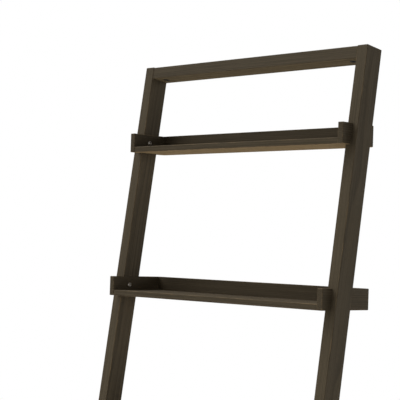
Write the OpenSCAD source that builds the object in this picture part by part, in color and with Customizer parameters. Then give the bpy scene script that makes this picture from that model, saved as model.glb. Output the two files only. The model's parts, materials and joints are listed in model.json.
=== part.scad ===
// Leaning ladder shelf rack: two slanted rails, a top crossbar and five trays that
// get deeper towards the floor, so that all their backs lie in the wall's plane.

/* [Frame] */
// Overall width across the two rails
rack_w = 640; // [520:10:900]
// Height of the rails' top front edges above the floor
rack_h = 1800; // [1780:10:1900]
// Backward lean of the rails in degrees
lean = 8.2; // [7:0.1:9]
// Width of a rail seen from the front
rail_w = 25; // [25:1:32]
// Depth of a rail, square to its front face
rail_d = 45; // [44:1:52]
// Gap between the floor and the rails' lower ends
foot_gap = 16; // [15:1:18]

/* [Crossbar] */
// Height of the crossbar, measured down the slope
bar_h = 25; // [24:1:32]
// How far the crossbar sits below the rails' tops
bar_drop = 1; // [0:0.5:4]
// How far the crossbar sits behind the rails' front faces
bar_recess = 0.7; // [0:0.1:3]

/* [Trays] */
// Distance from one tray to the next
tray_pitch = 320; // [300:5:330]
// Distance from the rails' tops down to the top tray's underside
top_drop = 197; // [150:1:240]
// Full height of a tray's rim
rim_h = 42; // [36:1:60]
// Thickness of a tray's side and back walls
wall_t = 12.5; // [12:0.5:16]
// Thickness of a tray's floor
floor_t = 12; // [10:0.5:16]
// How deep the trays are let into the rails
housing = 12; // [8:0.5:12]
// How far the top tray stands out in front of the rails, at its underside
overhang = 23.5; // [15:0.5:40]
// Depth of the top tray
top_depth = 101.5; // [95:0.5:110]
// Radius of a tray's upright rear corners
corner_r = 12; // [4:1:12]

/* [Feet] */
// Diameter of the levelling feet's pads
pad_d = 22; // [18:1:24]

/* [Hidden] */
$fn = 64;
eps = 0.01;
TRAYS = 5;
SIDES = [-1, 1];
TRAY_PARTS = ["floor", "left_side", "right_side", "back"];

WOOD = "#3b3329";
PALE_WOOD = "#c9a878";
STEEL = "#b9babb";
ZINC = "#8d8f92";
BRASS = "#b8964f";
PLASTIC = "#262423";
RUBBER = "#1b1b1c";

// Widths across the rack.
inner_x = rack_w / 2 - rail_w;
tray_x = inner_x + housing;
wall_x = tray_x - wall_t;

// Heights. Tray 1 is the top one.
tray_1_z = rack_h - top_drop;
function tray_z(k) = tray_1_z - (k - 1) * tray_pitch;

// Depths, before the whole rack is centred: the wall's plane is y = 0, and the
// bumpers hold the trays' backs just in front of it.
bumper_t = 2;
tray_back = -bumper_t;
slope = tan(lean);
rail_y1 = tray_back - top_depth + overhang;
function rail_front(z) = rail_y1 + (z - tray_1_z) * slope;
function tray_front(k) = rail_front(tray_z(k)) - overhang;
function tray_depth(k) = tray_back - tray_front(k);
rail_run = rail_d / cos(lean);
centre_y = -rail_front(foot_gap) / 2;

// Crossbar fittings, in the rail's own frame: v runs back from the front face and
// u runs down the slope from the top front edge.
bar_d = rail_d - bar_recess;
bar_u = bar_drop + bar_h / 2;
bar_v = rail_d / 2;
cam_r = 7.5;
cam_h = 18;
cam_inset = 24;
cam_bolt_r = 3.5;
cam_bolt_head_r = 4.5;
cam_bolt_in_rail = 12;
bar_dowel_r = 4;
bar_dowel_l = 30;
bar_dowel_v = [8, 37];

// Tray fastenings.
floor_recess = 1;
bolt_r = 3;
bolt_head_r = 5.25;
bolt_head_h = 3.2;
dome_r = 6.5;
bolt_l = 22;
bolt_up = 23;
bolt_back = 20.5;
hex_key_af = 4;
hex_key_depth = 2;
insert_r = 5;
insert_l = 12;
slip = 0.05;
dowel_r = 3;
dowel_l = 20;
dowel_margin = 22;
back_dowel_shift = 4;
back_dowel_drop = 14;
screw_r = 2;
screw_head_r = 4;
screw_head_h = 2.6;
floor_screw_l = 38;
floor_screw_x = 200;

// Wall fittings.
bumper_r = 6;
bumper_x = 240;
plate_w = 15;
plate_l = 44;
plate_t = 2;
plate_u = 45;
key_r = 4.5;
key_slot_w = 4.6;
key_slot_l = 11;
key_pocket_d = 6;
plate_screw_l = 16;
plate_screw_u = 17;

// Levelling feet.
stem_r = 3;
stem_top = 50;
stem_hole_top = 62;
sole_t = 2;
pad_h = 6;
pad_top_r = 8;
nut_af = 10;
nut_z = sole_t + pad_h + 0.3;
nut_h = 4;
pivot_r = 2.5;
pivot_z = sole_t + 2;
foot_insert_l = 16;

foot_y = rail_front(foot_gap) + rail_run / 2;
foot_x = rack_w / 2 - rail_w / 2;

// ---- placing helpers ----

// Centres the rack over the origin, front to back.
module centred() { translate([0, centre_y, 0]) children(); }

// Places children in the rail's own frame: x across, y back, z up the slope,
// with the origin on the rails' top front edge.
module on_slope() {
    centred() translate([0, rail_front(rack_h), rack_h]) rotate([-lean, 0, 0]) children();
}

// A cylinder along +X from the origin.
module rod_x(r, l) { rotate([0, 90, 0]) cylinder(r = r, h = l); }

// A cylinder along +Y from the origin.
module rod_y(r, l) { rotate([-90, 0, 0]) cylinder(r = r, h = l); }

// A hexagonal bar along +Z, measured across its flats.
module hex_bar(af, h) { cylinder(d = af / cos(30), h = h, $fn = 6); }

// Puts children at each end of a pair, mirrored for the left one.
module both_ends() {
    for (side = SIDES) mirror([side < 0 ? 1 : 0, 0, 0]) children();
}

// Centre of tray k's bolt, on the housing's floor.
module at_bolt(k) {
    z = tray_z(k) + bolt_up;
    translate([tray_x, rail_front(z) + bolt_back, z]) children();
}

// ---- frame ----

module rail_blank() {
    translate([inner_x, 0, 0]) rotate([90, 0, 90]) linear_extrude(height = rail_w) polygon([
        [rail_front(foot_gap), foot_gap],
        [rail_front(rack_h), rack_h],
        [rail_front(rack_h) + rail_d * cos(lean), rack_h - rail_d * sin(lean)],
        [rail_front(foot_gap) + rail_run, foot_gap]
    ]);
}

// Grooves for the trays' sides, with a hole for each threaded insert.
module tray_housings() {
    for (k = [1:TRAYS]) {
        translate([inner_x - 1, tray_front(k) - 1, tray_z(k)])
            cube([housing + 1, tray_depth(k) + 2, rim_h]);
        at_bolt(k) translate([-1, 0, 0]) rod_x(insert_r + slip, insert_l + 1);
    }
}

// Holes for the crossbar's dowels and cam bolt.
module rail_top_holes() {
    translate([inner_x - 1, bar_v, -bar_u]) rod_x(cam_bolt_r + slip, cam_bolt_in_rail + 1);
    for (v = bar_dowel_v)
        translate([inner_x - 1, v, -bar_u]) rod_x(bar_dowel_r + slip, bar_dowel_l / 2 + 1);
}

// Recess for the hanger plate, a pocket for the wall screw's head and two pilot holes.
module hanger_recess() {
    translate([foot_x, rail_d, -plate_u]) {
        translate([-plate_w / 2, -plate_t, -plate_l / 2]) cube([plate_w, plate_t + 1, plate_l]);
        translate([-key_r, -plate_t - key_pocket_d, -key_r])
            cube([2 * key_r, key_pocket_d + plate_t, key_slot_l + key_r]);
        for (end = SIDES)
            translate([0, -plate_screw_l, end * plate_screw_u])
                rod_y(screw_r + slip, plate_screw_l);
    }
}

module foot_hole() {
    translate([foot_x, foot_y, foot_gap - 1]) {
        cylinder(r = insert_r + slip, h = foot_insert_l + 1);
        cylinder(r = stem_r + 0.5, h = stem_hole_top - foot_gap + 1);
    }
}

module right_rail_solid() {
    difference() {
        centred() rail_blank();
        centred() tray_housings();
        centred() foot_hole();
        on_slope() rail_top_holes();
        on_slope() hanger_recess();
    }
}

module right_rail() { color(WOOD) right_rail_solid(); }

module left_rail() { color(WOOD) mirror([1, 0, 0]) right_rail_solid(); }

module top_crossbar() {
    color(WOOD) on_slope() difference() {
        translate([-inner_x, bar_recess, -bar_drop - bar_h])
            cube([2 * inner_x, bar_d, bar_h]);
        both_ends() {
            translate([inner_x - cam_inset, bar_v, -bar_drop - bar_h - 1])
                cylinder(r = cam_r + slip, h = cam_h + 1);
            translate([inner_x - cam_inset, bar_v, -bar_u])
                rod_x(cam_bolt_head_r, cam_inset + 1);
            for (v = bar_dowel_v)
                translate([inner_x - bar_dowel_l / 2, v, -bar_u])
                    rod_x(bar_dowel_r + slip, bar_dowel_l / 2 + 1);
        }
    }
}

// Cam: a thick disc with a mouth for the bolt's head and a driver cross below.
module cam() {
    translate([0, 0, -bar_drop - bar_h]) difference() {
        cylinder(r = cam_r, h = cam_h);
        translate([-3, 0, bar_h / 2]) rod_x(cam_bolt_head_r + 0.3, cam_r + 4);
        for (turn = [0, 90]) rotate([0, 0, turn])
            translate([-4, -0.8, -1]) cube([8, 1.6, 3.5]);
    }
}

module crossbar_cams() {
    color(ZINC) on_slope() both_ends()
        translate([inner_x - cam_inset, bar_v, 0]) cam();
}

// Cam bolt: threaded into the rail, necked, with a round head inside the cam.
module cam_bolt() {
    rod_x(cam_bolt_head_r - 0.4, 3);
    rod_x(cam_bolt_r - 1, cam_inset);
    translate([6, 0, 0]) rod_x(cam_bolt_r, cam_inset - 6 + cam_bolt_in_rail - 1);
}

module crossbar_cam_bolts() {
    color(ZINC) on_slope() both_ends()
        translate([inner_x - cam_inset, bar_v, -bar_u]) cam_bolt();
}

module crossbar_dowels() {
    color(PALE_WOOD) on_slope() both_ends() for (v = bar_dowel_v)
        translate([inner_x - bar_dowel_l / 2 + 1, v, -bar_u])
            rod_x(bar_dowel_r, bar_dowel_l - 2);
}

// ---- trays ----

// Where dowels join tray k's floor to its sides, front to back.
function dowel_ys(k) = [
    tray_front(k) + dowel_margin,
    tray_back - wall_t - dowel_margin
];

// Dowels from the floor and the back wall into the right side. The back wall's one is
// set further in, so that it stays inside the rounded corner.
module side_dowels(k, r, l) {
    for (y = dowel_ys(k))
        translate([wall_x - l / 2, y, tray_z(k) + floor_t / 2]) rod_x(r, l);
    translate([
        wall_x - back_dowel_shift - l / 2,
        tray_back - wall_t / 2,
        tray_z(k) + rim_h - back_dowel_drop
    ]) rod_x(r, l);
}

// Tip of the screw that runs forward through the back wall into the floor's edge.
module at_floor_screw(k, side) {
    translate([side * floor_screw_x, tray_back - floor_screw_l, tray_z(k) + floor_t / 2])
        children();
}

module tray_floor(k) {
    front = tray_front(k) + floor_recess;
    color(WOOD) centred() difference() {
        translate([-wall_x, front, tray_z(k)])
            cube([2 * wall_x, tray_back - wall_t - front, floor_t]);
        both_ends() side_dowels(k, dowel_r + slip, dowel_l);
        for (side = SIDES)
            at_floor_screw(k, side) rod_y(screw_r + slip, floor_screw_l);
    }
}

module tray_side_outline(k) {
    difference() {
        translate([wall_x, tray_front(k)]) square([wall_t, tray_depth(k)]);
        translate([tray_x - corner_r, tray_back - corner_r]) difference() {
            square(corner_r + 1);
            circle(r = corner_r);
        }
    }
}

module tray_side(k) {
    color(WOOD) centred() difference() {
        translate([0, 0, tray_z(k)]) linear_extrude(height = rim_h) tray_side_outline(k);
        side_dowels(k, dowel_r + slip, dowel_l);
        at_bolt(k) translate([-wall_t - 1, 0, 0]) rod_x(bolt_r + slip, wall_t + 2);
    }
}

module tray_back_wall(k) {
    color(WOOD) centred() difference() {
        translate([-wall_x, tray_back - wall_t, tray_z(k)]) cube([2 * wall_x, wall_t, rim_h]);
        both_ends() side_dowels(k, dowel_r + slip, dowel_l);
        for (side = SIDES)
            at_floor_screw(k, side) {
                rod_y(screw_r + slip, floor_screw_l + 1);
                translate([0, floor_screw_l - screw_head_h, 0])
                    rod_y(screw_head_r + slip, screw_head_h + 1);
            }
    }
}

// Low dome of a bolt's head, pointing along -X from the origin.
module dome_head() {
    rotate([0, -90, 0]) intersection() {
        cylinder(r = bolt_head_r, h = bolt_head_h);
        translate([0, 0, bolt_head_h - dome_r]) sphere(r = dome_r);
    }
}

// Hexagon-socket bolt through a tray's side into the rail.
module tray_bolt() {
    difference() {
        union() {
            rod_x(bolt_r, bolt_l);
            dome_head();
        }
        translate([-bolt_head_h - eps, 0, 0]) rotate([0, 90, 0])
            hex_bar(hex_key_af, hex_key_depth);
    }
}

module tray_bolts() {
    color(STEEL) centred() both_ends() for (k = [1:TRAYS])
        at_bolt(k) translate([-wall_t, 0, 0]) tray_bolt();
}

module insert(r, bore, l) {
    difference() {
        cylinder(r = r, h = l);
        translate([0, 0, -1]) cylinder(r = bore, h = l + 2);
    }
}

module rail_inserts() {
    color(BRASS) centred() both_ends() for (k = [1:TRAYS])
        at_bolt(k) rotate([0, 90, 0]) insert(insert_r, bolt_r + slip, insert_l);
}

module tray_dowels() {
    color(PALE_WOOD) centred() both_ends() for (k = [1:TRAYS])
        side_dowels(k, dowel_r, dowel_l - 1);
}

module wood_screw(l) {
    rod_y(screw_r, l);
    translate([0, l - screw_head_h, 0]) rod_y(screw_head_r, screw_head_h);
}

// Screws through the back walls into the floors.
module floor_screws() {
    color(ZINC) centred() for (k = [1:TRAYS]) for (side = SIDES)
        at_floor_screw(k, side) wood_screw(floor_screw_l);
}

// ---- wall side ----

// Rubber buttons on the top and bottom trays' backs.
module wall_bumpers() {
    color(RUBBER) centred() for (k = [1, TRAYS]) for (side = SIDES)
        translate([side * bumper_x, tray_back, tray_z(k) + rim_h / 2])
            rod_y(bumper_r, bumper_t);
}

// Keyhole plate, set flush in a rail's back.
module hanger_plate() {
    difference() {
        translate([-plate_w / 2, -plate_t, -plate_l / 2]) cube([plate_w, plate_t, plate_l]);
        translate([0, -plate_t - 1, 0]) rod_y(key_r, plate_t + 2);
        translate([-key_slot_w / 2, -plate_t - 1, 0])
            cube([key_slot_w, plate_t + 2, key_slot_l - key_slot_w / 2]);
        translate([0, -plate_t - 1, key_slot_l - key_slot_w / 2])
            rod_y(key_slot_w / 2, plate_t + 2);
        for (end = SIDES)
            translate([0, -plate_t - 1, end * plate_screw_u]) rod_y(screw_r + slip, plate_t + 2);
    }
}

module hanger_plates() {
    color(ZINC) on_slope() both_ends() translate([foot_x, rail_d, -plate_u]) hanger_plate();
}

module hanger_screws() {
    color(ZINC) on_slope() both_ends() for (end = SIDES)
        translate([foot_x, rail_d - plate_screw_l + 1, -plate_u + end * plate_screw_u]) {
            rod_y(screw_r, plate_screw_l - 1);
            translate([0, plate_screw_l - 1, 0]) rod_y(screw_head_r - 0.5, 1.2);
        }
}

// ---- levelling feet ----

module foot_inserts() {
    color(BRASS) centred() both_ends() translate([foot_x, foot_y, foot_gap])
        insert(insert_r, stem_r + slip, foot_insert_l);
}

// A foot's place under one rail: side is -1 for the left one.
module at_foot(side) { centred() translate([side * foot_x, foot_y, 0]) children(); }

module foot_pad(side) {
    color(PLASTIC) at_foot(side) difference() {
        rotate_extrude() polygon([
            [0, sole_t], [pad_d / 2, sole_t], [pad_d / 2, sole_t + pad_h * 0.4],
            [pad_top_r, sole_t + pad_h], [0, sole_t + pad_h]
        ]);
        translate([0, 0, pivot_z]) cylinder(r = pivot_r + slip, h = pad_h);
    }
}

module foot_sole(side) {
    color(RUBBER) at_foot(side) cylinder(d = pad_d - 1, h = sole_t);
}

module foot_stem(side) {
    color(STEEL) at_foot(side) {
        translate([0, 0, pivot_z + slip]) cylinder(r = pivot_r, h = nut_z - pivot_z);
        translate([0, 0, nut_z]) hex_bar(nut_af, nut_h);
        translate([0, 0, nut_z + nut_h - eps]) cylinder(r = stem_r, h = stem_top - nut_z - nut_h);
    }
}

left_rail();
right_rail();
top_crossbar();
crossbar_cams();
crossbar_cam_bolts();
crossbar_dowels();
for (k = [1:TRAYS]) {
    tray_floor(k);
    mirror([1, 0, 0]) tray_side(k);
    tray_side(k);
    tray_back_wall(k);
}
tray_bolts();
rail_inserts();
tray_dowels();
floor_screws();
wall_bumpers();
hanger_plates();
hanger_screws();
foot_inserts();
foot_pad(-1);  // left_foot_pad
foot_sole(-1);  // left_foot_sole
foot_stem(-1);  // left_foot_stem
foot_pad(1);  // right_foot_pad
foot_sole(1);  // right_foot_sole
foot_stem(1);  // right_foot_stem
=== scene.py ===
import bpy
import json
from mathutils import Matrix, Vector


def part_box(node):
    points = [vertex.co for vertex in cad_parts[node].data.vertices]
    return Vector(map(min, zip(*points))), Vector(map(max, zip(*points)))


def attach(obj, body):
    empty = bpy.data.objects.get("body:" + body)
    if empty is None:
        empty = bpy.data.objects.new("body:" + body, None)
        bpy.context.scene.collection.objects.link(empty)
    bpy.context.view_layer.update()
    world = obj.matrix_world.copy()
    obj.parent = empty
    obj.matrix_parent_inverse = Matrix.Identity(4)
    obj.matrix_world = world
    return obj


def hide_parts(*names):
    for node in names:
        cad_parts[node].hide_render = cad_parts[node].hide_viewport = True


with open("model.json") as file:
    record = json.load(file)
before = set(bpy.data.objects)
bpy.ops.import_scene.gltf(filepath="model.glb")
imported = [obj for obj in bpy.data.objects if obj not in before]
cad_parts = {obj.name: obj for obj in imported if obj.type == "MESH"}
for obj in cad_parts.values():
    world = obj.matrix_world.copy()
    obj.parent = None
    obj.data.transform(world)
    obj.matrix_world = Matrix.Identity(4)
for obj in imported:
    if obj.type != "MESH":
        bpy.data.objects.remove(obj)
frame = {"nodes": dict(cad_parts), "record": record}

"""Looks of the leaning ladder shelf rack: eased, stained boards and turned metal
and rubber fittings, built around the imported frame. Lengths are in metres, apart from
the outlines of turned fittings, which are in mm."""

import json
import math

import bmesh
import bpy
from mathutils import Matrix, Vector

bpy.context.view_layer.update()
MM = 0.001
# Trays, numbered from the top.
TRAYS = range(1, 6)
SIDES = ("left", "right")
BODY_OF = {
    node: body for body, nodes in frame["record"]["behaviour"]["bodies"].items() for node in nodes
}
SLOT_OF = {part["node"]: part["material_slot"] for part in frame["record"]["subparts"]}

# ---------------------------------------------------------------- directions and edges

# The rails lean back by this angle, and the crossbar and hanger plates with them.
LEAN = math.radians(8.2)
SLOPE = Matrix.Rotation(-LEAN, 3, "X")
X_AXIS, Y_AXIS, Z_AXIS = Vector((1, 0, 0)), Vector((0, 1, 0)), Vector((0, 0, 1))
UP_SLOPE, OFF_SLOPE = SLOPE @ Z_AXIS, SLOPE @ Y_AXIS

# How far the outer edges of boards and of metal pieces are rounded.
BOARD_EASE = 1.1 * MM
METAL_EASE = 0.3 * MM
# Points of a CAD mesh closer than this are one point, faces closer than this angle to
# one plane are one face, and edges sharper than this angle get rounded.
MERGE_DISTANCE = 0.001 * MM
FLAT_ANGLE = math.radians(0.5)
SHARP_ANGLE = math.radians(25)
# A face is outside when nothing of its solid is further than this in front of it.
OUTSIDE_TOLERANCE = 0.02 * MM
# Faces at a smaller angle than this are shaded as one surface.
CREASE = math.radians(38)
# A face is an underside where its normal's Z is below this.
UNDERSIDE = -0.9
# How far each step of a board's seed moves its grain along, across and through it, so
# that no two boards look alike.
GRAIN_STEP = (1.7, 0.31, 0.13)


# ---------------------------------------------------------------- materials


def new_material(name):
    """A node material with its Principled shader."""
    material = bpy.data.materials.new(name)
    material.use_nodes = True
    return material, material.node_tree, material.node_tree.nodes["Principled BSDF"]


def add(tree, kind, inputs=None, **settings):
    """Adds a node, sets its properties, and links or sets its inputs."""
    node = tree.nodes.new(kind)
    for key, value in settings.items():
        setattr(node, key, value)
    for key, value in (inputs or {}).items():
        if isinstance(value, bpy.types.NodeSocket):
            tree.links.new(value, node.inputs[key])
        else:
            node.inputs[key].default_value = value
    return node


def stretched(tree, vector, scale):
    """The vector scaled along each of its axes."""
    return add(tree, "ShaderNodeVectorMath", {0: vector, 1: scale}, operation="MULTIPLY").outputs[0]


def noise_of(tree, place, scale, detail, roughness):
    """A noise value from 0 to 1, at one scale or at a scale for each axis."""
    if isinstance(scale, tuple):
        place, scale = stretched(tree, place, scale), 1.0
    inputs = {"Vector": place, "Scale": scale, "Detail": detail, "Roughness": roughness}
    return add(tree, "ShaderNodeTexNoise", inputs).outputs["Fac"]


def ramp(tree, value, low, high):
    """A colour between those of two (value, colour) stops."""
    node = add(tree, "ShaderNodeValToRGB", {"Fac": value})
    for element, (position, colour) in zip(node.color_ramp.elements, (low, high)):
        element.position = position
        element.color = (*colour, 1)
    return node.outputs["Color"]


def mixed(tree, factor, a, b):
    """Colour a blended towards colour b."""
    node = add(tree, "ShaderNodeMix", data_type="RGBA")
    for socket, value in ((node.inputs[0], factor), (node.inputs[6], a), (node.inputs[7], b)):
        if isinstance(value, bpy.types.NodeSocket):
            tree.links.new(value, socket)
        else:
            socket.default_value = value if isinstance(value, float) else (*value, 1)
    return node.outputs[2]


def math_of(tree, operation, *values):
    """A Math node's result."""
    return add(tree, "ShaderNodeMath", dict(enumerate(values)), operation=operation).outputs[0]


def remap(tree, value, low, high, to_low, to_high):
    """A value moved from one range to another, held inside it."""
    inputs = {"Value": value, 1: low, 2: high, 3: to_low, 4: to_high}
    return add(tree, "ShaderNodeMapRange", inputs).outputs["Result"]


def object_place(tree):
    """The place of a point in its object's own space, which at rest is the frame's."""
    return add(tree, "ShaderNodeTexCoord").outputs["Object"]


def set_bump(tree, shader, height, strength, depth):
    """Bumps a shader's surface by a height value, to a depth in metres."""
    inputs = {"Height": height, "Strength": strength, "Distance": depth}
    tree.links.new(add(tree, "ShaderNodeBump", inputs).outputs["Normal"], shader.inputs["Normal"])


# How fast each pattern of the stained wood changes along a board, across and through it.
DRIFT = (1.3, 9, 9)
FIBRES = (6, 420, 420)
PORES = (95, 2300, 2300)
BLOTCHES = (5, 16, 16)
RUBBING = (26, 240, 240)
SHEEN = (9, 40, 40)
# How far the year rings wander across a board and through it.
WANDER = (0, 0.020, 0.020)
# What fibres, late wood and blotches add to a board's tone.
FIBRE_SHARE, LATE_SHARE, BLOTCH_SHARE = 0.68, -0.16, 0.14
# The tones at which the colour is darkest and lightest, and by how much it changes.
DARK_TONE, LIGHT_TONE = 0.24, 0.58
TONE_CHANGE = 0.24
# The colour of rubbed edges as a share of the thin coat's, that of the pores as a share
# of the stain's, and how strongly the pores show.
RUBBED_SHARE, PORE_SHARE, PORE_STRENGTH = 0.9, 0.45, 0.45
# How much the satin lacquer reflects.
LACQUER_SPECULAR = 0.07


def stained_wood(name, stain, worn_and_underlit, pith, ring=0.0034):
    """Espresso-stained wood under satin lacquer, with the tree's middle at pith, and
    year rings of the given width. The mesh's grain attribute runs along the board,
    across it and through it, so the rings show as lines on the faces and as arcs on the
    ends. Its edge attribute marks the eased edges, and its under attribute the
    undersides, which are painted a lighter colour: painted light for the light that
    the floor throws up onto them."""
    material, tree, shader = new_material(name)
    grain = add(tree, "ShaderNodeAttribute", attribute_name="grain").outputs["Vector"]
    edge = add(tree, "ShaderNodeAttribute", attribute_name="edge").outputs["Fac"]
    under = add(tree, "ShaderNodeAttribute", attribute_name="under").outputs["Fac"]

    drift = add(tree, "ShaderNodeTexNoise", {
        "Vector": stretched(tree, grain, DRIFT), "Scale": 1.0, "Detail": 2.0,
    }).outputs["Color"]
    drift = stretched(tree, drift, WANDER)
    moved = add(tree, "ShaderNodeVectorMath", {0: grain, 1: drift}, operation="ADD").outputs[0]
    moved = add(tree, "ShaderNodeVectorMath", {0: moved, 1: (0, *pith)}, operation="ADD").outputs[0]
    moved = stretched(tree, moved, (0, 1, 1))
    radius = add(tree, "ShaderNodeVectorMath", {0: moved}, operation="LENGTH").outputs["Value"]
    rings = math_of(tree, "FRACT", math_of(tree, "DIVIDE", radius, ring))
    late = remap(tree, rings, 0.45, 0.95, 0, 1)
    late = math_of(tree, "MULTIPLY", late, remap(tree, rings, 1.0, 0.95, 0, 1))
    fibre = noise_of(tree, grain, FIBRES, 4, 0.62)
    pores = noise_of(tree, grain, PORES, 2, 0.5)
    pores = remap(tree, pores, 0.28, 0.38, 1, 0)
    blotch = noise_of(tree, grain, BLOTCHES, 3, 0.6)

    tone = math_of(tree, "ADD", math_of(tree, "MULTIPLY", fibre, FIBRE_SHARE),
                   math_of(tree, "MULTIPLY", late, LATE_SHARE))
    tone = math_of(tree, "ADD", tone, math_of(tree, "MULTIPLY", blotch, BLOTCH_SHARE))
    rubbed = noise_of(tree, grain, RUBBING, 3, 0.6)
    wear = math_of(tree, "MULTIPLY", edge, remap(tree, rubbed, 0.44, 0.66, 0.04, 0.55))
    # Painted light: undersides are blended towards a lighter colour that stands for the light the
    # floor throws up onto them; the share is larger where the tone is low.
    underlight_share = remap(tree, tone, 0.25, 0.50, 0.97, 0.80)
    full, underlit = (
        ramp(tree, tone, (DARK_TONE, tuple(c * (1 - TONE_CHANGE) for c in tint)),
             (LIGHT_TONE, tuple(c * (1 + TONE_CHANGE) for c in tint)))
        for tint in (stain, worn_and_underlit)
    )
    colour = mixed(tree, wear, full, tuple(c * RUBBED_SHARE for c in worn_and_underlit))
    colour = mixed(tree, math_of(tree, "MULTIPLY", under, underlight_share), colour, underlit)
    colour = mixed(tree, math_of(tree, "MULTIPLY", pores, PORE_STRENGTH), colour,
                   tuple(c * PORE_SHARE for c in stain))
    tree.links.new(colour, shader.inputs["Base Color"])

    sheen = noise_of(tree, grain, SHEEN, 3, 0.6)
    rough = math_of(tree, "ADD", remap(tree, sheen, 0.3, 0.7, 0.55, 0.65),
                    math_of(tree, "MULTIPLY", pores, 0.10))
    rough = math_of(tree, "MULTIPLY_ADD", under, 0.25, rough)
    tree.links.new(rough, shader.inputs["Roughness"])
    height = math_of(tree, "SUBTRACT", math_of(tree, "MULTIPLY", fibre, 0.30),
                     math_of(tree, "MULTIPLY", pores, 0.7))
    set_bump(tree, shader, height, 0.30, 0.12 * MM)
    shader.inputs["Specular IOR Level"].default_value = LACQUER_SPECULAR
    return material


def pale_wood():
    """Unfinished beech of the dowels."""
    material, tree, shader = new_material("beech")
    place = object_place(tree)
    fibre = noise_of(tree, place, (90, 900, 900), 4, 0.6)
    fleck = noise_of(tree, place, (260, 1400, 1400), 2, 0.5)
    colour = ramp(tree, fibre, (0.3, (0.42, 0.27, 0.14)), (0.7, (0.62, 0.44, 0.26)))
    colour = mixed(tree, remap(tree, fleck, 0.62, 0.72, 0, 0.5), colour, (0.30, 0.18, 0.09))
    tree.links.new(colour, shader.inputs["Base Color"])
    shader.inputs["Roughness"].default_value = 0.68
    set_bump(tree, shader, fibre, 0.3, 0.1 * MM)
    return material


def plated_metal(name, base, worn, rough):
    """Plated steel or brass with fine machining marks and dull spots."""
    material, tree, shader = new_material(name)
    place = object_place(tree)
    marks = noise_of(tree, place, (260, 2340, 2340), 3, 0.6)
    dull = noise_of(tree, place, 210.0, 4, 0.6)
    colour = mixed(tree, remap(tree, dull, 0.45, 0.75, 0, 0.6), base, worn)
    tree.links.new(colour, shader.inputs["Base Color"])
    shader.inputs["Metallic"].default_value = 1.0
    roughness = math_of(tree, "ADD", remap(tree, marks, 0.3, 0.7, rough - 0.05, rough + 0.07),
                        remap(tree, dull, 0.5, 0.8, 0, 0.14))
    tree.links.new(roughness, shader.inputs["Roughness"])
    set_bump(tree, shader, marks, 0.18, 0.04 * MM)
    return material


def moulded(name, base, dusty, rough, grain_scale):
    """Moulded plastic or rubber with a fine texture and a little dust."""
    material, tree, shader = new_material(name)
    place = object_place(tree)
    texture = noise_of(tree, place, grain_scale, 2, 0.5)
    dust = noise_of(tree, place, 130.0, 4, 0.65)
    colour = mixed(tree, remap(tree, dust, 0.5, 0.8, 0, 0.5), base, dusty)
    tree.links.new(colour, shader.inputs["Base Color"])
    tree.links.new(remap(tree, dust, 0.3, 0.8, rough - 0.06, rough + 0.10),
                   shader.inputs["Roughness"])
    set_bump(tree, shader, texture, 0.3, 0.05 * MM)
    return material


# Colours of the full stain, and of the worn stain on rubbed edges. The latter also
# paints the undersides lighter, as painted light for the light thrown up from below.
STAIN = (0.094, 0.0735, 0.046)
RAIL_STAIN = (0.102, 0.080, 0.050)
WORN_AND_UNDERLIT_TINT = (0.330, 0.228, 0.116)
CROSSBAR_WORN_AND_UNDERLIT_TINT = (0.190, 0.143, 0.080)
MATERIALS = {
    "rail_wood": stained_wood("stained_rail", RAIL_STAIN, WORN_AND_UNDERLIT_TINT, (0.055, 0.018)),
    "crossbar_wood": stained_wood("stained_crossbar", STAIN, CROSSBAR_WORN_AND_UNDERLIT_TINT,
                                  (0.031, 0.047)),
    "tray_rim_wood": stained_wood("stained_rim", STAIN, WORN_AND_UNDERLIT_TINT, (0.020, 0.062)),
    "tray_floor_wood": stained_wood("stained_floor", STAIN, WORN_AND_UNDERLIT_TINT, (0.110, 0.034), 0.0041),
    "pale_wood": pale_wood(),
    "bolt_steel": plated_metal("bright_steel", (0.62, 0.58, 0.52), (0.42, 0.39, 0.35), 0.34),
    "zinc": plated_metal("zinc_plate", (0.36, 0.36, 0.37), (0.22, 0.22, 0.22), 0.38),
    # Nearly black plate, partly painted shade: on the cams under the crossbar's ends it darkens the
    # shaded corners where the crossbar meets the rails.
    "dark_zinc": plated_metal("dark_zinc", (0.020, 0.018, 0.017), (0.035, 0.032, 0.03), 0.50),
    "brass": plated_metal("turned_brass", (0.58, 0.42, 0.18), (0.34, 0.23, 0.10), 0.30),
    "black_plastic": moulded("black_plastic", (0.020, 0.019, 0.018), (0.06, 0.055, 0.05),
                             0.5, 2600),
    "rubber": moulded("black_rubber", (0.014, 0.014, 0.014), (0.05, 0.048, 0.045), 0.72, 1700),
}


# ---------------------------------------------------------------- mesh helpers


def corner_normals(bm):
    """A normal for each face corner that leans to the largest faces around it, so flat
    faces look flat, and the narrow faces that round their edges look round."""
    bm.normal_update()
    pull = {face: face.normal * face.calc_area() for face in bm.faces}
    limit = math.cos(CREASE)
    normals = []
    for face in bm.faces:
        for vert in face.verts:
            near = (g for g in vert.link_faces if g.normal.dot(face.normal) > limit)
            normals.append(sum((pull[g] for g in near), Vector()).normalized())
    return normals


def piece_from(bm, name, node, material):
    """Turns a bmesh into a piece that rides with, and stands for, its CAD node."""
    normals = corner_normals(bm)
    mesh = bpy.data.meshes.new(name)
    bm.to_mesh(mesh)
    bm.free()
    mesh.polygons.foreach_set("use_smooth", [True] * len(mesh.polygons))
    mesh.normals_split_custom_set(normals)
    mesh.materials.append(material)
    piece = bpy.data.objects.new(name, mesh)
    bpy.context.scene.collection.objects.link(piece)
    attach(piece, BODY_OF[node])
    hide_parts(node)
    return piece


def store(mesh, name, kind, domain, field, values):
    """Adds a named attribute to a mesh."""
    mesh.attributes.new(name, kind, domain).data.foreach_set(field, values)


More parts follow.
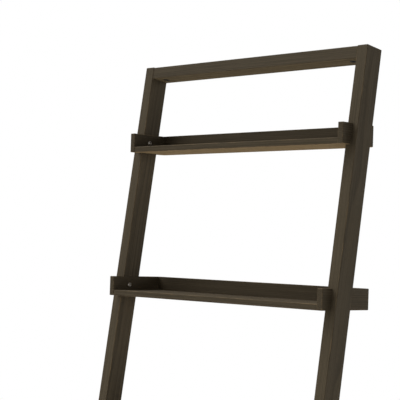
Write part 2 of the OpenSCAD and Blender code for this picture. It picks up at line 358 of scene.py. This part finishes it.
def separate_solids(bm):
    """The vertices of each separate solid in a mesh."""
    left = set(bm.verts)
    groups = []
    while left:
        group, edge_of_group = set(), [left.pop()]
        while edge_of_group:
            vert = edge_of_group.pop()
            group.add(vert)
            near = [e.other_vert(vert) for e in vert.link_edges]
            edge_of_group += [v for v in near if v in left]
            left.difference_update(near)
        groups.append(group)
    return groups


def outer_faces(bm):
    """The faces whose planes have their whole solid on one side: its real outside, and
    none of its bores, pockets or grooves."""
    found = set()
    for group in separate_solids(bm):
        corners = [v.co for v in group]
        for face in {f for v in group for f in v.link_faces}:
            if max((c - face.verts[0].co).dot(face.normal) for c in corners) < OUTSIDE_TOLERANCE:
                found.add(face)
    return found


def cad_mesh(node):
    """A CAD node's mesh as a bmesh, with its flat faces made whole."""
    bm = bmesh.new()
    bm.from_mesh(frame["nodes"][node].data)
    bmesh.ops.remove_doubles(bm, verts=bm.verts, dist=MERGE_DISTANCE)
    bmesh.ops.dissolve_limit(bm, angle_limit=FLAT_ANGLE, verts=bm.verts, edges=bm.edges)
    bm.normal_update()
    return bm


def eased_mesh(node, ease):
    """A CAD node's mesh with its outer edges softly rounded, and the rounding's faces."""
    bm = cad_mesh(node)
    outside = outer_faces(bm)
    sharp = [
        e for e in bm.edges
        if len(e.link_faces) == 2 and all(f in outside for f in e.link_faces)
        and e.calc_face_angle() > SHARP_ANGLE
    ]
    made = bmesh.ops.bevel(bm, geom=sharp, offset=ease, segments=3, profile=0.5,
                           affect="EDGES", clamp_overlap=False)
    bm.normal_update()
    bm.faces.index_update()
    return bm, {f.index for f in made["faces"]}


def eased_board(node, along, across, seed):
    """A board with rounded edges and its grain laid out along its length."""
    bm, rounded = eased_mesh(node, BOARD_EASE)
    piece = piece_from(bm, node + "_board", node, MATERIALS[SLOT_OF[node]])
    mesh = piece.data
    shift = Vector([seed * step for step in GRAIN_STEP])
    of_board = Matrix((along, across, along.cross(across)))
    store(mesh, "grain", "FLOAT_VECTOR", "POINT", "vector",
          [c for v in mesh.vertices for c in of_board @ v.co + shift])
    store(mesh, "edge", "FLOAT", "FACE", "value",
          [float(face.index in rounded) for face in mesh.polygons])
    store(mesh, "under", "FLOAT", "FACE", "value",
          [float(face.normal.z < UNDERSIDE) for face in mesh.polygons])


def tip_frame(points, axis):
    """A frame whose Z is the axis and whose origin is where a solid ends along it."""
    turn = axis.to_track_quat("Z", "Y").to_matrix()
    local = [turn.transposed() @ p for p in points]
    low, high = (Vector(map(pick, zip(*local))) for pick in (min, max))
    middle = (low + high) / 2
    return Matrix.Translation(turn @ Vector((middle.x, middle.y, high.z))) @ turn.to_4x4()


def round_outline(angle):
    """A circle's radius, as a share of its radius."""
    return 1.0


def hex_outline(angle):
    """A hexagon's distance from its middle, as a share of its inner radius."""
    return 1 / math.cos((angle + math.pi / 6) % (math.pi / 3) - math.pi / 6)


# Half the width of a driver cross's arm, as a share of its length.
CROSS_ARM = 0.24


def cross_outline(angle):
    """A driver cross's distance from its middle, as a share of its arm's length."""
    from_arm = (angle + math.pi / 4) % (math.pi / 2) - math.pi / 4
    return min(1 / math.cos(from_arm), CROSS_ARM / max(abs(math.sin(from_arm)), 0.001))


def turned(bm, place, rings, segments=48, closed=False):
    """Adds a turned solid. Each ring is a radius and a height in mm, and may add an
    outline other than a circle, and a radius in mm that the outline is cut to."""
    loops = []
    for radius, height, *shape in rings:
        outline = shape[0] if shape else round_outline
        limit = shape[1] if len(shape) > 1 else math.inf
        if radius == 0:
            loops.append([bm.verts.new(place @ Vector((0, 0, height * MM)))])
            continue
        loop = []
        for i in range(segments):
            angle = math.tau * i / segments
            reach = min(radius * outline(angle), limit) * MM
            loop.append(bm.verts.new(
                place @ Vector((reach * math.cos(angle), reach * math.sin(angle), height * MM))))
        loops.append(loop)
    pairs = list(zip(loops, loops[1:] + ([loops[0]] if closed else [])))
    for lower, upper in pairs:
        for i in range(segments):
            j = (i + 1) % segments
            corners = [lower[i % len(lower)], lower[j % len(lower)],
                       upper[j % len(upper)], upper[i % len(upper)]]
            bm.faces.new(list(dict.fromkeys(corners)))


# The outline of a thread: how far each point is up the pitch, as a share of it, and how
# far it stands out, as a share of the thread's depth.
THREAD_OUTLINE = ((0.0, 0.0), (0.36, 1.0), (0.50, 1.0), (0.86, 0.0))


def thread(bm, place, low, high, crest, root, pitch, steps=24):
    """Adds a closed screw thread along Z from low to high, which fades out at both ends.
    The heights, the radii of its crest and root, and its pitch are in mm. A turn has
    the given number of steps."""
    turns = (high - low) / pitch - 1
    count = round(turns * steps)
    rows = []
    for i in range(count + 1):
        angle = math.tau * i / steps
        fade = min(1.0, i / steps, (count - i) / steps)
        row = []
        for rise, share in THREAD_OUTLINE:
            radius = (root + (crest - root) * share * fade) * MM
            height = (low + pitch * (i / steps + rise)) * MM
            row.append(bm.verts.new(
                place @ Vector((radius * math.cos(angle), radius * math.sin(angle), height))))
        rows.append(row)
    for i in range(count):
        for a, b in zip(range(3), range(1, 4)):
            bm.faces.new((rows[i][a], rows[i + 1][a], rows[i + 1][b], rows[i][b]))
    for i in range(count - steps):
        bm.faces.new((rows[i][3], rows[i + 1][3], rows[i + steps + 1][0], rows[i + steps][0]))
    first, last = rows[0], rows[-1]
    start = [row[0] for row in rows[:steps + 1]] + first[:0:-1]
    end = [row[3] for row in rows[count - steps:]] + last[2::-1]
    for loop, height in ((start, low), (end, high)):
        middle = bm.verts.new(place @ Vector((0, 0, height * MM)))
        for a, b in zip(loop, loop[1:] + loop[:1]):
            bm.faces.new((a, b, middle))


def fitting(node, bm):
    """Finishes a fitting's mesh as a piece that stands for its CAD node."""
    bmesh.ops.recalc_face_normals(bm, faces=bm.faces)
    piece_from(bm, node + "_fitting", node, MATERIALS[SLOT_OF[node]])


def turned_fitting(node, axis_of, rings, **options):
    """Turns the same shape at each solid of a CAD node, measured from the solid's tip."""
    source = cad_mesh(node)
    bm = bmesh.new()
    for group in separate_solids(source):
        points = [v.co.copy() for v in group]
        turned(bm, tip_frame(points, axis_of(points)), rings, **options)
    source.free()
    fitting(node, bm)


# ---------------------------------------------------------------- the pieces


def build_boards():
    """The rails, the crossbar and the trays."""
    for seed, node in enumerate(("left_rail", "right_rail")):
        eased_board(node, UP_SLOPE, X_AXIS, seed + 1)
    eased_board("top_crossbar", X_AXIS, UP_SLOPE, 5)
    for k in TRAYS:
        eased_board(f"tray_{k}_floor", X_AXIS, Y_AXIS, 10 + k)
        eased_board(f"tray_{k}_back", X_AXIS, Z_AXIS, 20 + k)
        eased_board(f"tray_{k}_left_side", Y_AXIS, Z_AXIS, 30 + k)
        eased_board(f"tray_{k}_right_side", Y_AXIS, Z_AXIS, 40 + k)


def towards_middle(points):
    """The X axis, turned from a solid at one side of the rack towards its middle."""
    return X_AXIS if points[0].x < 0 else -X_AXIS


def build_fastenings():
    """Bolts with low domed heads and hexagon sockets, cross-head screws, cams and plates."""
    dome_r = 6.5
    dome = [
        (math.sqrt(dome_r ** 2 - (dome_r + height) ** 2), height)
        for height in (-2.4, -1.9, -1.4, -0.9, -0.55)
    ]
    turned_fitting("tray_bolts", towards_middle, [
        (0, -25.2), (2.4, -25.2), (3, -24.6), (3, -3.2), (5.0, -3.2), (5.22, -3.0), (5.22, -2.6),
        *dome, (2.02, -0.75, hex_outline), (1.98, -2.0, hex_outline), (0, -2.5),
    ])
    turned_fitting("floor_screws", lambda points: Y_AXIS, [
        (0, -38), (0.6, -37), (2, -32), (2, -3), (3.4, -1.2), (3.95, -0.5), (3.95, -0.2),
        (3.75, -0.05), (2.6, -0.05, cross_outline), (2.2, -1.3, cross_outline), (0, -1.7),
    ])
    turned_fitting("hanger_screws", lambda points: OFF_SLOPE, [
        (0, -16.2), (0.6, -15.2), (2, -11), (2, -1.2), (3.3, -1.2), (3.5, -1.0), (3.45, -0.7),
        (3.1, -0.3), (2.6, -0.08), (2.1, 0), (1.9, -0.02, cross_outline),
        (1.5, -0.8, cross_outline), (0, -1.1),
    ])
    for node in ("crossbar_cams", "hanger_plates"):
        bm, _ = eased_mesh(node, METAL_EASE)
        fitting(node, bm)


def build_bumpers():
    """Low rubber buttons that hold the trays off the wall."""
    turned_fitting("wall_bumpers", lambda points: Y_AXIS, [
        (0, -2), (5.9, -2), (6, -1.8), (5.95, -1.1), (5.6, -0.55), (4.9, -0.2), (4.0, -0.04),
        (3.2, 0), (0, 0),
    ])


def build_feet():
    """Levelling feet: soft sole, swivelling pad, and a threaded stem with its nut."""
    turned_fitting("foot_inserts", lambda points: -Z_AXIS, [
        (3.25, 0), (4.7, 0), (5, -0.3), (5, -15.7), (4.7, -16), (3.05, -16), (3.05, -0.2),
    ], closed=True)
    for side in SIDES:
        low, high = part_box(f"{side}_foot_pad")
        place = Matrix.Translation(((low.x + high.x) / 2, (low.y + high.y) / 2, 0))
        sole, pad, stem = bmesh.new(), bmesh.new(), bmesh.new()
        turned(sole, place, [
            (0, 0.5), (2.4, 0.5), (2.8, 0), (4.4, 0), (4.8, 0.5), (5.8, 0.5), (6.2, 0),
            (7.6, 0), (8.0, 0.5), (8.8, 0.5), (9.2, 0), (10.1, 0), (10.45, 0.3), (10.5, 0.7),
            (10.5, 2), (0, 2),
        ], segments=64)
        turned(pad, place, [
            (0, 2), (10.8, 2), (11, 2.2), (11, 4.1), (10.8, 4.6), (8.4, 7.4), (7.8, 7.9),
            (7.2, 8), (3.1, 8), (2.75, 7.9), (2.55, 7.6), (2.55, 4), (0, 4),
        ], segments=64)
        turned(stem, place, [
            (0, 4.1), (2.3, 4.1), (2.5, 4.3), (2.5, 8.3), (5, 8.3, hex_outline, 5.1),
            (5, 8.5, hex_outline, 5.42), (5, 8.75, hex_outline), (5, 11.85, hex_outline),
            (5, 12.1, hex_outline, 5.42), (5, 12.3, hex_outline, 5.1), (3.2, 12.3),
            (2.5, 11.9), (0, 11.9),
        ], segments=72)
        thread(stem, place, low=11.2, high=50, crest=3, root=2.45, pitch=1)
        fitting(f"{side}_foot_sole", sole)
        fitting(f"{side}_foot_pad", pad)
        fitting(f"{side}_foot_stem", stem)


def finish_hidden_fittings():
    """Procedural materials on the dowels, cam bolts and inserts inside the wood."""
    for node in ("crossbar_cam_bolts", "crossbar_dowels", "rail_inserts", "tray_dowels"):
        mesh = frame["nodes"][node].data
        mesh.materials.clear()
        mesh.materials.append(MATERIALS[SLOT_OF[node]])


build_boards()
build_fastenings()
build_bumpers()
build_feet()
finish_hidden_fittings()


# ---------------------------------------------------------------- stage, light and camera


FLOOR_RADIUS = 9.0
# How far from the middle the floor starts to fade, and where it is gone.
FADE_FROM, FADE_TO = 1.1, 4.5


def build_floor():
    """A pale floor that fades into the white surround."""
    bm = bmesh.new()
    bmesh.ops.create_circle(bm, cap_ends=True, radius=FLOOR_RADIUS, segments=96)
    mesh = bpy.data.meshes.new("floor")
    bm.to_mesh(mesh)
    bm.free()
    floor = bpy.data.objects.new("floor", mesh)
    bpy.context.scene.collection.objects.link(floor)
    material, tree, shader = new_material("pale_floor")
    place = object_place(tree)
    distance = add(tree, "ShaderNodeVectorMath", {0: place}, operation="LENGTH").outputs["Value"]
    shader.inputs["Base Color"].default_value = (0.86, 0.86, 0.85, 1)
    shader.inputs["Roughness"].default_value = 0.6
    clear = add(tree, "ShaderNodeBsdfTransparent").outputs[0]
    fade = remap(tree, distance, FADE_FROM, FADE_TO, 0, 1)
    blend = add(tree, "ShaderNodeMixShader", {0: fade, 1: shader.outputs[0], 2: clear})
    tree.links.new(blend.outputs[0], tree.nodes["Material Output"].inputs["Surface"])
    mesh.materials.append(material)


# Soft glows of the surround: degrees around from the front towards the right, degrees
# up, how tightly the glow is gathered, and its strength.
GLOWS = (
    (270, 70, 14, 6.9), (300, 40, 14, 3.6), (150, 5, 20, 3.0), (330, 5, 20, 1.2),
    (60, 5, 20, 1.25), (300, 5, 20, 0.2),
)
# The surround's strength where no glow reaches.
AMBIENT = 0.004


def build_world():
    """A surround that the camera sees as plain white. It lights the rack mostly from
    high on the left, with a low glow from behind on the right."""
    world = bpy.data.worlds.new("studio")
    bpy.context.scene.world = world
    world.use_nodes = True
    tree = world.node_tree
    seen = tree.nodes["Background"]
    seen.inputs["Color"].default_value = (1, 1, 1, 1)
    seen.inputs["Strength"].default_value = 1.0
    direction = add(tree, "ShaderNodeTexCoord").outputs["Generated"]
    strength = AMBIENT
    for turn, height, focus, power in GLOWS:
        turn, height = math.radians(turn), math.radians(height)
        towards = (math.sin(turn) * math.cos(height), -math.cos(turn) * math.cos(height),
                   math.sin(height))
        facing = add(tree, "ShaderNodeVectorMath", {0: direction, 1: towards},
                     operation="DOT_PRODUCT").outputs["Value"]
        glow = math_of(tree, "POWER", math_of(tree, "MAXIMUM", facing, 0.0), focus)
        strength = math_of(tree, "MULTIPLY_ADD", glow, power, strength)
    lit = add(tree, "ShaderNodeBackground", {"Strength": strength})
    lit.inputs["Color"].default_value = (1.0, 1.0, 1.0, 1)
    path = add(tree, "ShaderNodeLightPath").outputs["Is Camera Ray"]
    mix = add(tree, "ShaderNodeMixShader", {0: path, 1: lit.outputs[0], 2: seen.outputs[0]})
    tree.links.new(mix.outputs[0], tree.nodes["World Output"].inputs["Surface"])


# Where the camera is, its lens and sensor in mm, and how many degrees it is turned
# about the vertical, up, and about its own axis.
EYE = (1.9304, -1.9102, 1.3926)
LENS, SENSOR = 119.32, 36.0
YAW, PITCH, ROLL = 45.68, 2.09, 1.95


def build_camera():
    """A camera at eye height, in front and to the right, that looks at the upper part
    of the rack."""
    data = bpy.data.cameras.new("camera")
    data.sensor_width = SENSOR
    data.lens = LENS
    camera = bpy.data.objects.new("camera", data)
    yaw, pitch, roll = (math.radians(angle) for angle in (YAW, PITCH, ROLL))
    camera.location = EYE
    turn = (Matrix.Rotation(yaw, 3, "Z") @ Matrix.Rotation(math.pi / 2 + pitch, 3, "X")
            @ Matrix.Rotation(roll, 3, "Z"))
    camera.rotation_mode = "QUATERNION"
    camera.rotation_quaternion = turn.to_quaternion()
    bpy.context.scene.collection.objects.link(camera)
    bpy.context.scene.camera = camera


build_floor()
build_world()
build_camera()
bpy.context.scene.view_settings.view_transform = "Standard"
